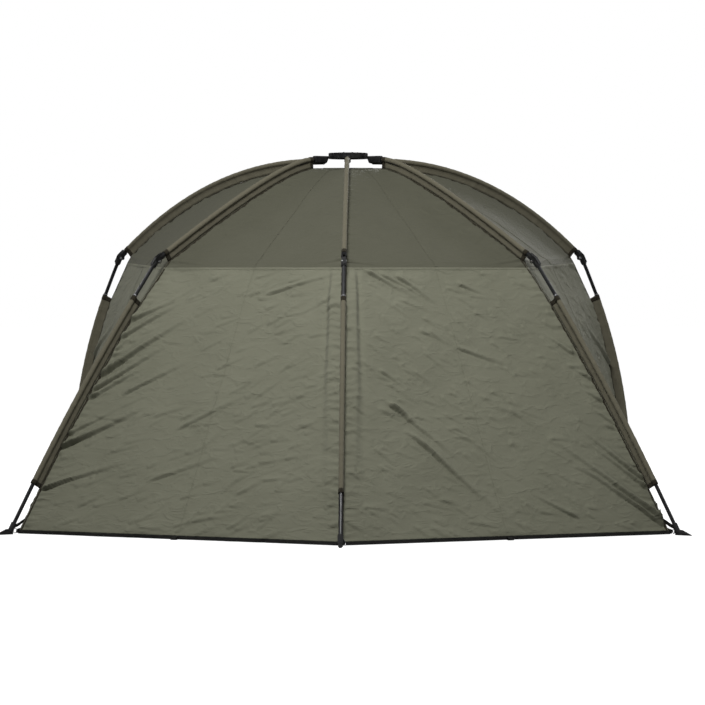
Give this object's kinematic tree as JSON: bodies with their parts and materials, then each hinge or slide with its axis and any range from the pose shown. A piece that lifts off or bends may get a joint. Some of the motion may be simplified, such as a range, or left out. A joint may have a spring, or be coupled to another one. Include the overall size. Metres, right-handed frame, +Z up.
{
  "type": "bivvy tent",
  "caption": "Dome bivvy shelter: a hub carries jointed ribs whose cloth sleeves hold a tapered canopy; the ribs swing up and the legs close in to fold it.",
  "frame": {"origin": "middle of the rectangle round all five feet, on the ground plane", "axes": "+Z up, +X to the right seen from behind the tent, -Y towards the rear centre rib, +Y towards the zipped front panel"},
  "size_m": [2.837, 2.5703, 1.596],
  "materials": {
    "hub_nylon": "satin",
    "foot_nylon": "matte",
    "tube_black": "satin",
    "pin_steel": "satin",
    "zip_metal": "satin",
    "sleeve_cloth": "matte",
    "canopy_cloth": "matte"
  },
  "bodies": {
    "hub": {"hub_body": "hub_nylon", "hub_cap": "hub_nylon", "hub_ring": "pin_steel", "roof_rear_left": "canopy_cloth", "roof_rear_right": "canopy_cloth", "roof_left": "canopy_cloth", "roof_right": "canopy_cloth", "roof_front": "canopy_cloth", "wall_rear_left": "canopy_cloth", "wall_rear_right": "canopy_cloth", "wall_left": "canopy_cloth", "wall_right": "canopy_cloth", "front_panel": "canopy_cloth"},
    "rib_rear_centre": {"rib_block_rear_centre": "hub_nylon", "upper_tube_rear_centre": "tube_black", "upper_sleeve_rear_centre": "sleeve_cloth", "knuckle_fork_rear_centre": "hub_nylon", "knuckle_pin_rear_centre": "pin_steel"},
    "leg_rear_centre": {"knuckle_tongue_rear_centre": "hub_nylon", "lower_tube_rear_centre": "tube_black", "lower_sleeve_rear_centre": "sleeve_cloth", "foot_rear_centre": "foot_nylon"},
    "rib_rear_right": {"rib_block_rear_right": "hub_nylon", "upper_tube_rear_right": "tube_black", "upper_sleeve_rear_right": "sleeve_cloth", "knuckle_fork_rear_right": "hub_nylon", "knuckle_pin_rear_right": "pin_steel"},
    "leg_rear_right": {"knuckle_tongue_rear_right": "hub_nylon", "lower_tube_rear_right": "tube_black", "lower_sleeve_rear_right": "sleeve_cloth", "foot_rear_right": "foot_nylon"},
    "rib_front_right": {"rib_block_front_right": "hub_nylon", "upper_tube_front_right": "tube_black", "upper_sleeve_front_right": "sleeve_cloth", "knuckle_fork_front_right": "hub_nylon", "knuckle_pin_front_right": "pin_steel"},
    "leg_front_right": {"knuckle_tongue_front_right": "hub_nylon", "lower_tube_front_right": "tube_black", "lower_sleeve_front_right": "sleeve_cloth", "foot_front_right": "foot_nylon"},
    "rib_front_left": {"rib_block_front_left": "hub_nylon", "upper_tube_front_left": "tube_black", "upper_sleeve_front_left": "sleeve_cloth", "knuckle_fork_front_left": "hub_nylon", "knuckle_pin_front_left": "pin_steel"},
    "leg_front_left": {"knuckle_tongue_front_left": "hub_nylon", "lower_tube_front_left": "tube_black", "lower_sleeve_front_left": "sleeve_cloth", "foot_front_left": "foot_nylon"},
    "rib_rear_left": {"rib_block_rear_left": "hub_nylon", "upper_tube_rear_left": "tube_black", "upper_sleeve_rear_left": "sleeve_cloth", "knuckle_fork_rear_left": "hub_nylon", "knuckle_pin_rear_left": "pin_steel"},
    "leg_rear_left": {"knuckle_tongue_rear_left": "hub_nylon", "lower_tube_rear_left": "tube_black", "lower_sleeve_rear_left": "sleeve_cloth", "foot_rear_left": "foot_nylon"},
    "slider_left": {"zip_slider_left": "zip_metal"},
    "slider_right": {"zip_slider_right": "zip_metal"}
  },
  "joints": [
    {"name": "swing_rear_centre", "type": "hinge", "parent": "hub", "child": "rib_rear_centre", "pos_m": [0, 0.44039, 1.5785], "axis": [-1, 0, 0], "range_deg": [0, 100], "deforming": ["roof_rear_left", "roof_rear_right", "roof_left", "roof_right", "roof_front", "wall_rear_left", "wall_rear_right", "wall_left", "wall_right", "front_panel", "upper_sleeve_rear_centre", "lower_sleeve_rear_centre", "upper_sleeve_rear_right", "lower_sleeve_rear_right", "upper_sleeve_front_right", "lower_sleeve_front_right", "upper_sleeve_front_left", "lower_sleeve_front_left", "upper_sleeve_rear_left", "lower_sleeve_rear_left"]},
    {"name": "knuckle_rear_centre", "type": "hinge", "parent": "rib_rear_centre", "child": "leg_rear_centre", "pos_m": [0, -0.48557, 1.11753], "axis": [1, 0, 0], "range_deg": [0, 143.5]},
    {"name": "swing_rear_right", "type": "hinge", "parent": "hub", "child": "rib_rear_right", "pos_m": [0.05815, 0.46863, 1.5785], "axis": [-0.6184, -0.7859, 0], "range_deg": [0, 100.5]},
    {"name": "knuckle_rear_right", "type": "hinge", "parent": "rib_rear_right", "child": "leg_rear_right", "pos_m": [0.78583, -0.10399, 1.11753], "axis": [0.6184, 0.7859, 0], "range_deg": [0, 143.5]},
    {"name": "swing_front_right", "type": "hinge", "parent": "hub", "child": "rib_front_right", "pos_m": [0.06409, 0.55139, 1.5785], "axis": [0.5, -0.866, 0], "range_deg": [0, 98.5]},
    {"name": "knuckle_front_right", "type": "hinge", "parent": "rib_front_right", "child": "leg_front_right", "pos_m": [1.03902, 1.11427, 1.13774], "axis": [-0.5, 0.866, 0], "range_deg": [0, 121.5]},
    {"name": "swing_front_left", "type": "hinge", "parent": "hub", "child": "rib_front_left", "pos_m": [-0.06409, 0.55139, 1.5785], "axis": [0.5, 0.866, 0], "range_deg": [0, 98.5]},
    {"name": "knuckle_front_left", "type": "hinge", "parent": "rib_front_left", "child": "leg_front_left", "pos_m": [-1.03902, 1.11427, 1.13774], "axis": [-0.5, -0.866, 0], "range_deg": [0, 121.5]},
    {"name": "swing_rear_left", "type": "hinge", "parent": "hub", "child": "rib_rear_left", "pos_m": [-0.05815, 0.46863, 1.5785], "axis": [-0.6184, 0.7859, 0], "range_deg": [0, 100.5]},
    {"name": "knuckle_rear_left", "type": "hinge", "parent": "rib_rear_left", "child": "leg_rear_left", "pos_m": [-0.78583, -0.10399, 1.11753], "axis": [0.6184, -0.7859, 0], "range_deg": [0, 143.5]},
    {"name": "zip_left", "type": "hinge", "parent": "leg_front_left", "child": "slider_left", "pos_m": [0.61924, 0.17534, 0.11359], "axis": [0.5, 0.866, 0], "range_deg": [0, 22.6]},
    {"name": "zip_right", "type": "hinge", "parent": "leg_front_right", "child": "slider_right", "pos_m": [-0.61924, 0.17534, 0.11359], "axis": [0.5, -0.866, 0], "range_deg": [0, 22.6]}
  ],
  "couplings": [
    {"joint": "knuckle_rear_centre", "follows": "swing_rear_centre", "ratio": 1.43},
    {"joint": "swing_rear_right", "follows": "swing_rear_centre", "ratio": 1},
    {"joint": "knuckle_rear_right", "follows": "swing_rear_centre", "ratio": 1.43},
    {"joint": "swing_front_right", "follows": "swing_rear_centre", "ratio": 0.98},
    {"joint": "knuckle_front_right", "follows": "swing_rear_centre", "ratio": 1.21},
    {"joint": "swing_front_left", "follows": "swing_rear_centre", "ratio": 0.98},
    {"joint": "knuckle_front_left", "follows": "swing_rear_centre", "ratio": 1.21},
    {"joint": "swing_rear_left", "follows": "swing_rear_centre", "ratio": 1},
    {"joint": "knuckle_rear_left", "follows": "swing_rear_centre", "ratio": 1.43}
  ]
}
